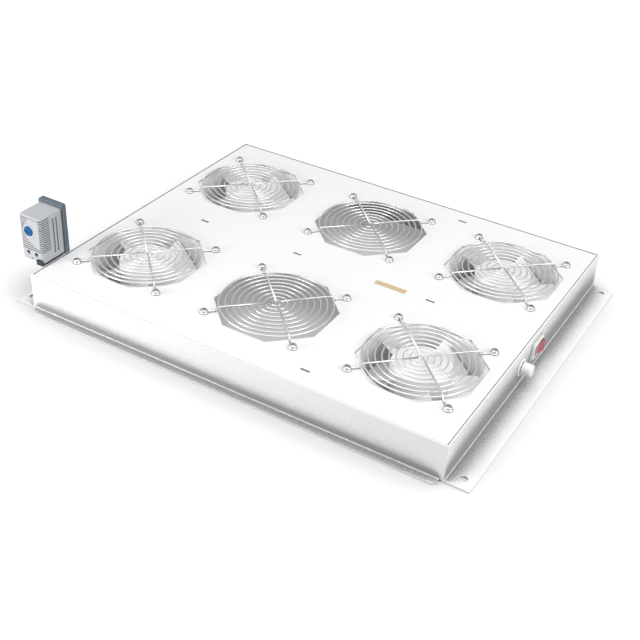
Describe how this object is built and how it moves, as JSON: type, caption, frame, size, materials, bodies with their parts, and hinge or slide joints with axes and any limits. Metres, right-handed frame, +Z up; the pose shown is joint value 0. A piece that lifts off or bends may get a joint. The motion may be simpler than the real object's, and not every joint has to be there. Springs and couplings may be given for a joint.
{
  "type": "rack roof fan tray",
  "caption": "Folded steel roof tray for a rack, with axial fans under wire guards, a rocker switch, a fuse holder and a thermostat on a bracket.",
  "frame": {"origin": "centre of the side flanges' underside, midway between the four flange holes", "axes": "+X to the side with the switch, +Y to the back, +Z up through the top plate"},
  "size_m": [0.5363, 0.421, 0.0988],
  "materials": {
    "tray_paint": "matte",
    "fan_casting": "matte",
    "rotor_plastic": "matte",
    "shaft_steel": "satin",
    "stator_steel": "matte",
    "bearing_bronze": "satin",
    "guard_wire": "bright plating",
    "fastener_steel": "satin",
    "switch_shell": "satin",
    "rocker_red": "gloss",
    "fuse_plastic": "satin",
    "thermostat_shell": "matte",
    "thermostat_rear": "matte",
    "dial_blue": "satin",
    "bracket_black": "satin",
    "gland_plastic": "matte",
    "label_tan": "matte"
  },
  "bodies": {
    "tray": {"tray_frame": "tray_paint", "top_plate": "tray_paint", "fan_frame_front_left": "fan_casting", "fan_stator_front_left": "stator_steel", "fan_bearings_front_left": "bearing_bronze", "fan_frame_front_right": "fan_casting", "fan_stator_front_right": "stator_steel", "fan_bearings_front_right": "bearing_bronze", "fan_frame_back_left": "fan_casting", "fan_stator_back_left": "stator_steel", "fan_bearings_back_left": "bearing_bronze", "fan_frame_back_right": "fan_casting", "fan_stator_back_right": "stator_steel", "fan_bearings_back_right": "bearing_bronze", "finger_guard_front_left": "guard_wire", "finger_guard_front_right": "guard_wire", "finger_guard_back_left": "guard_wire", "finger_guard_back_right": "guard_wire", "finger_guard_front_middle": "guard_wire", "finger_guard_back_middle": "guard_wire", "guard_screws": "fastener_steel", "guard_nuts": "fastener_steel", "bracket_screws": "fastener_steel", "bracket_nuts": "fastener_steel", "fan_terminals": "fastener_steel", "switch_terminals": "fastener_steel", "fuse_terminals": "fastener_steel", "terminal_screws": "fastener_steel", "earth_stud": "fastener_steel", "earth_nut": "fastener_steel", "fuse_link": "fastener_steel", "switch_body": "switch_shell", "fuse_holder": "fuse_plastic", "fuse_nut": "fuse_plastic", "thermostat_housing": "thermostat_shell", "thermostat_back": "thermostat_rear", "thermostat_bracket": "bracket_black", "cable_gland": "gland_plastic", "gland_locknut": "gland_plastic", "label_strip": "label_tan"},
    "rocker": {"switch_rocker": "rocker_red"},
    "dial": {"thermostat_dial": "dial_blue"},
    "fuse_knob": {"fuse_cap": "fuse_plastic"},
    "rotor_front_left": {"fan_rotor_front_left": "rotor_plastic", "fan_shaft_front_left": "shaft_steel"},
    "rotor_front_right": {"fan_rotor_front_right": "rotor_plastic", "fan_shaft_front_right": "shaft_steel"},
    "rotor_back_left": {"fan_rotor_back_left": "rotor_plastic", "fan_shaft_back_left": "shaft_steel"},
    "rotor_back_right": {"fan_rotor_back_right": "rotor_plastic", "fan_shaft_back_right": "shaft_steel"}
  },
  "joints": [
    {"name": "fan_spin_front_left", "type": "hinge", "parent": "tray", "child": "rotor_front_left", "pos_m": [-0.165, -0.099, 0.0195], "axis": [0, 0, 1], "continuous": true},
    {"name": "fan_spin_front_right", "type": "hinge", "parent": "tray", "child": "rotor_front_right", "pos_m": [0.165, -0.099, 0.0195], "axis": [0, 0, 1], "continuous": true},
    {"name": "fan_spin_back_left", "type": "hinge", "parent": "tray", "child": "rotor_back_left", "pos_m": [-0.165, 0.099, 0.0195], "axis": [0, 0, 1], "continuous": true},
    {"name": "fan_spin_back_right", "type": "hinge", "parent": "tray", "child": "rotor_back_right", "pos_m": [0.165, 0.099, 0.0195], "axis": [0, 0, 1], "continuous": true},
    {"name": "switch_rock", "type": "hinge", "parent": "tray", "child": "rocker", "pos_m": [0.2385, 0.012, 0.0235], "axis": [0, 0, 1], "range_deg": [0, 20]},
    {"name": "dial_turn", "type": "hinge", "parent": "tray", "child": "dial", "pos_m": [-0.2571, -0.177, 0.0774], "axis": [0, -1, 0], "range_deg": [-150, 150]},
    {"name": "fuse_cap_twist", "type": "hinge", "parent": "tray", "child": "fuse_knob", "pos_m": [0.24, -0.027, 0.0215], "axis": [1, 0, 0], "range_deg": [0, 60]}
  ]
}
